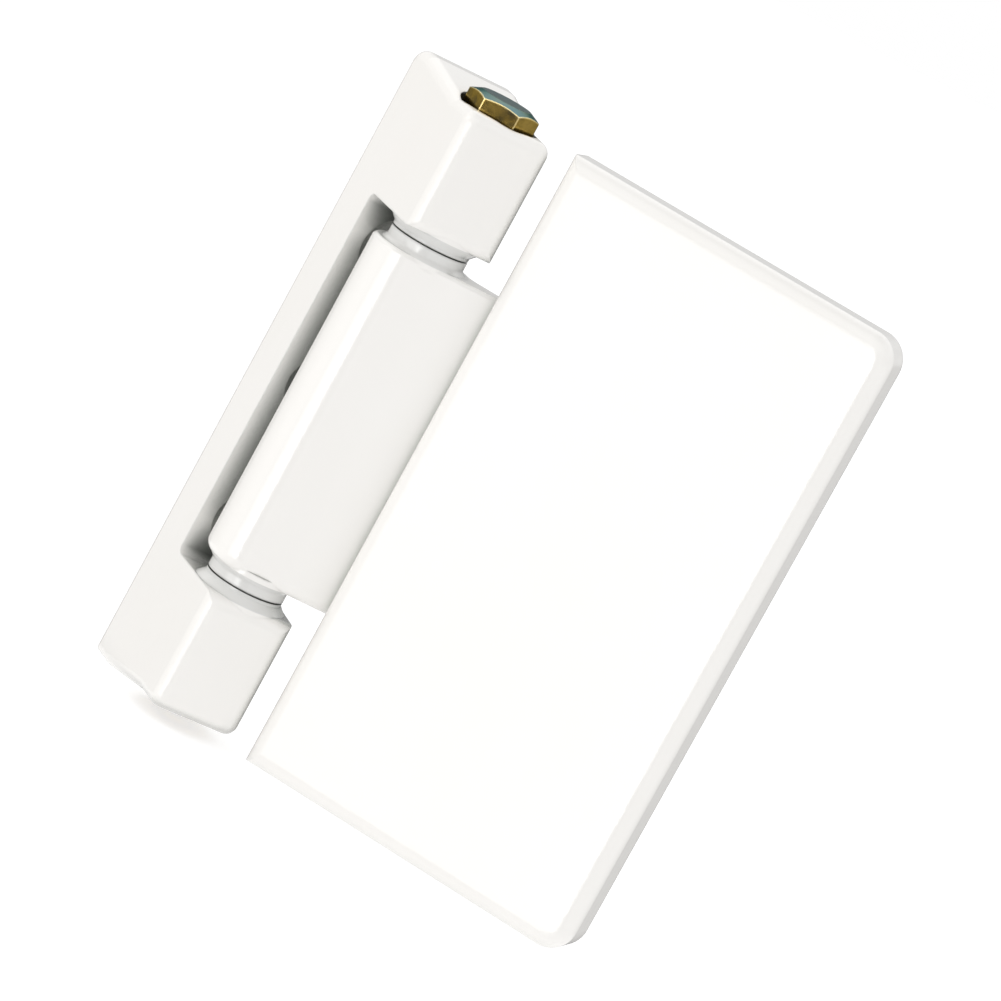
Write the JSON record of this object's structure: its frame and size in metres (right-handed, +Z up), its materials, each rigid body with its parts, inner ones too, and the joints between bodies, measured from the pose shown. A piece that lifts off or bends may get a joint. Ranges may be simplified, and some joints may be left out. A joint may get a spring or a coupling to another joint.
{
  "type": "heavy offset folding hinge",
  "caption": "Heavy offset hinge with a cast C-shaped frame leaf, a cast box door leaf with a central knuckle, and a hex pivot bolt through all knuckles.",
  "frame": {"origin": "centre of the frame leaf's mounting face, on the middle fixing hole", "axes": "+Y into the door frame that the hinge is fixed to, +Z up along the pivot, +X towards the door's side"},
  "size_m": [0.1035, 0.1081, 0.1682],
  "materials": {
    "white_paint": "gloss",
    "yellow_zinc": "satin",
    "nylon": "matte",
    "bronze": "satin",
    "bearing_plastic": "matte"
  },
  "bodies": {
    "frame": {"frame_leaf": "white_paint", "pivot_bolt": "yellow_zinc", "head_washer": "yellow_zinc", "nut_washer": "yellow_zinc", "lock_nut": "yellow_zinc", "lock_nut_ring": "nylon", "upper_thrust_washer": "bearing_plastic", "lower_thrust_washer": "bearing_plastic"},
    "door": {"door_leaf": "white_paint", "upper_bush": "bronze", "lower_bush": "bronze"}
  },
  "joints": [
    {"name": "leaf_pivot", "type": "hinge", "parent": "frame", "child": "door", "pos_m": [0, -0.033, 0], "axis": [0, 0, -1], "range_deg": [-40, 140]}
  ]
}
